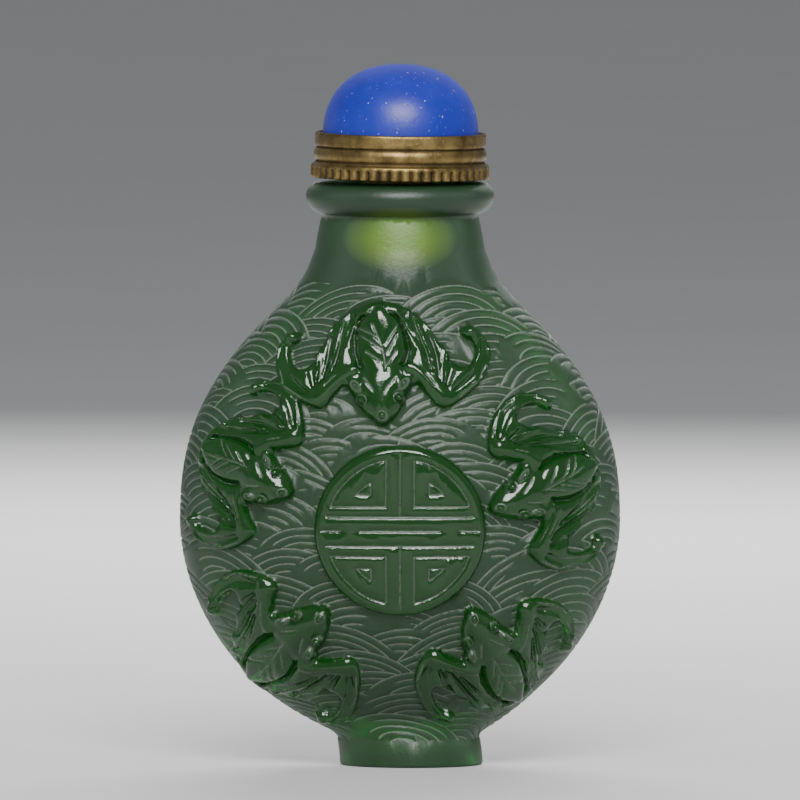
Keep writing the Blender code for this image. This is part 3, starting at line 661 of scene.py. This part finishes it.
spot[:, :2] *= (1.0 - dent / np.maximum(reach, MM))[:, None]
collar_mesh.vertices.foreach_set("co", spot.astype(np.float32).ravel())
tooth_mark = collar_mesh.attributes.new("dirt", "FLOAT", "POINT")
groove_near = np.minimum(np.abs(spot[:, 2] - bead_floor), np.abs(spot[:, 2] - band_floor)) / (0.25 * MM)
dirt = np.maximum(np.clip(1.0 - groove_near, 0.0, 1.0), np.clip(dent / knurl_depth, 0.0, 1.0))
tooth_mark.data.foreach_set("value", dirt.astype(np.float32))

# Aged brass: dull gold where hands rub it, brown and nearly black down in the grooves.
brass = Finish("aged_brass", Metallic=1.0)
grime = brass.node("ShaderNodeAttribute", {"attribute_name": "dirt"}, {}, "Fac")
patina = brass.noise(420.0, detail=5.0, roughness=0.65)
specks = brass.noise(2400.0, detail=3.0).between(0.56, 0.7)
rubbed = brass.mix(patina.between(0.38, 0.66), (0.30, 0.215, 0.08, 1.0), (0.10, 0.07, 0.028, 1.0))
rubbed = brass.mix(specks * 0.5, rubbed, (0.12, 0.08, 0.04, 1.0))
brass.feed(Base_Color=brass.mix(grime.between(0.2, 0.9) * 0.9, rubbed, (0.035, 0.024, 0.014, 1.0)))
brass.feed(Roughness=(0.34 + patina * 0.22 + grime * 0.3).between(0.0, 1.0))
brass.feed(Normal=brass.bump(patina * 0.6 + specks * 0.4, 0.00004))
seat_on_mouth("collar_brass", collar_mesh, brass, "stopper_collar")

# The dome. A cabochon of opaque blue stone with a few pale flecks, waxy rather than glassy. It is ground
# to a steep round top and set down in the collar's pocket.
dome_height = 8.25 * MM
dome_floor = collar_top - pocket_depth + seat_gap
dome_radius = pocket_radius - seat_gap
dome_outline = [(0.0, dome_floor), (dome_radius * 0.5, dome_floor), (dome_radius - seat_gap, dome_floor)]
for share in np.sin(np.linspace(0.06, math.pi / 2, 40)):
    dome_outline.append((dome_radius * (1.0 - share ** 2.5) ** (1 / 2.2), dome_floor + dome_height * share))
dome_outline[-1] = (0.0, dome_floor + dome_height)
dome_mesh = turned_mesh("dome_stone", dome_outline, 128)
blue = Finish("blue_stone", IOR=1.5, Specular_IOR_Level=0.35)
cloudy = blue.noise(260.0, detail=4.0)
fleck = blue.noise(3800.0, detail=1.0).between(0.73, 0.80)
crumb = blue.noise(1300.0, detail=2.0).between(0.71, 0.78)
tone = blue.mix(cloudy.between(0.3, 0.7), (0.007, 0.013, 0.22, 1.0), (0.013, 0.022, 0.28, 1.0))
blue.feed(Base_Color=blue.mix(fleck.maths("MAXIMUM", fleck, crumb) * 0.6, tone, (0.62, 0.68, 0.85, 1.0)))
blue.feed(Roughness=(0.3 + cloudy * 0.14).between(0.0, 1.0))
blue.feed(Normal=blue.bump(cloudy * 0.5 + blue.noise(1500.0, detail=4.0) * 0.5, 0.00005))
seat_on_mouth("dome_stone", dome_mesh, blue, "stopper_cabochon")

# The cork. A plain turned cork, a little thinner at its tip. It is held in the collar's socket and
# reaches down into the bore, out of sight.
cork_length, cork_taper, cork_edge = 4.6 * MM, 0.3 * MM, 0.3 * MM
cork_radius = bore_radius - seat_gap
cork_top = socket_depth - seat_gap
cork_tip = cork_top - cork_length
cork_outline = [(0.0, cork_top), (cork_radius, cork_top), (cork_radius, -seat_gap)]
cork_outline += [(cork_radius - cork_taper * share, -seat_gap + (cork_tip + cork_edge + seat_gap) * share)
                 for share in (0.33, 0.66, 1.0)]
cork_outline += [(cork_radius - cork_taper - cork_edge, cork_tip), (0.0, cork_tip)]
cork = Finish("cork", Roughness=0.85)
bark = cork.noise(900.0, detail=4.0, roughness=0.6)
pores = cork.noise(2200.0, detail=2.0).between(0.6, 0.68)
cork.feed(Base_Color=cork.mix(pores, cork.mix(bark, (0.46, 0.28, 0.13, 1.0), (0.30, 0.16, 0.07, 1.0)),
                              (0.08, 0.04, 0.02, 1.0)))
cork.feed(Normal=cork.bump(bark - pores * 0.8, 0.0001))
seat_on_mouth("cork_plug", turned_mesh("cork_plug", cork_outline, 48), cork, "stopper_cork")

# The table. A plain pale board that the bottle stands on, far wider than the picture. It isn't part of
# the object.
board = bmesh.new()
bmesh.ops.create_grid(board, x_segments=1, y_segments=1, size=6.0)
board_mesh = bpy.data.meshes.new("table")
board.to_mesh(board_mesh)
board.free()
table = bpy.data.objects.new("table", board_mesh)
bpy.context.scene.collection.objects.link(table)
pale_board = Finish("table", Roughness=0.6)
grain = pale_board.noise(30.0, detail=2.0)
pale_board.feed(Base_Color=pale_board.mix(grain, (0.47, 0.47, 0.465, 1.0), (0.50, 0.50, 0.495, 1.0)))
table.data.materials.append(pale_board.material)

# The light is soft, as from wide diffusers: one high in front, a fainter one each side, and one behind
# that sends light through the glass.
sky = bpy.data.worlds.new("studio")
bpy.context.scene.world = sky
sky.use_nodes = True
sky.node_tree.nodes["Background"].inputs["Color"].default_value = (0.93, 0.96, 1.0, 1.0)
sky.node_tree.nodes["Background"].inputs["Strength"].default_value = 0.34


def diffuser(name, spot, aim, width, height, watts, mirrored):
    """A rectangular soft light that faces its aim, and is mirrored in gloss only where that is said."""
    data = bpy.data.lights.new(name, "AREA")
    data.shape, data.size, data.size_y, data.energy = "RECTANGLE", width, height, watts
    lamp = bpy.data.objects.new(name, data)
    towards = (aim[0] - spot[0], aim[1] - spot[1], aim[2] - spot[2])
    turn = math.atan2(-towards[0], towards[1])
    tip = math.acos(-towards[2] / math.sqrt(sum(part ** 2 for part in towards)))
    lamp.location, lamp.rotation_euler = spot, (tip, 0.0, turn)
    lamp.visible_camera, lamp.visible_glossy = False, mirrored
    bpy.context.scene.collection.objects.link(lamp)


middle_of_body = (0.0, 0.0, 0.035)
diffuser("front_high", (0.02, -0.54, 0.45), middle_of_body, 0.40, 0.28, 8.0, True)
diffuser("left", (-0.55, -0.12, 0.22), middle_of_body, 0.25, 0.35, 1.0, False)
diffuser("right", (0.55, -0.10, 0.22), middle_of_body, 0.25, 0.35, 1.0, False)
diffuser("behind", (0.05, 0.42, 0.30), middle_of_body, 0.40, 0.25, 5.0, False)

# The camera looks from a little above the lip with a long lens, the bottle's axis up the middle.
camera_distance, camera_height, aim_height = 2.0, 0.160, 0.0388
pixels_per_metre, frame_pixels, sensor = 9410.0, 800.0, 36.0
drop = math.atan2(camera_height - aim_height, camera_distance)
lens_data = bpy.data.cameras.new("camera")
lens_data.sensor_width = sensor
sight_line = math.hypot(camera_distance, camera_height - aim_height)
lens_data.lens = pixels_per_metre * sight_line * sensor / frame_pixels
lens_data.clip_start, lens_data.clip_end = 0.1, 10.0
camera = bpy.data.objects.new("camera", lens_data)
camera.location = (0.0, -camera_distance, camera_height)
camera.rotation_euler = (math.pi / 2 - drop, 0.0, 0.0)
bpy.context.scene.collection.objects.link(camera)
bpy.context.scene.camera = camera
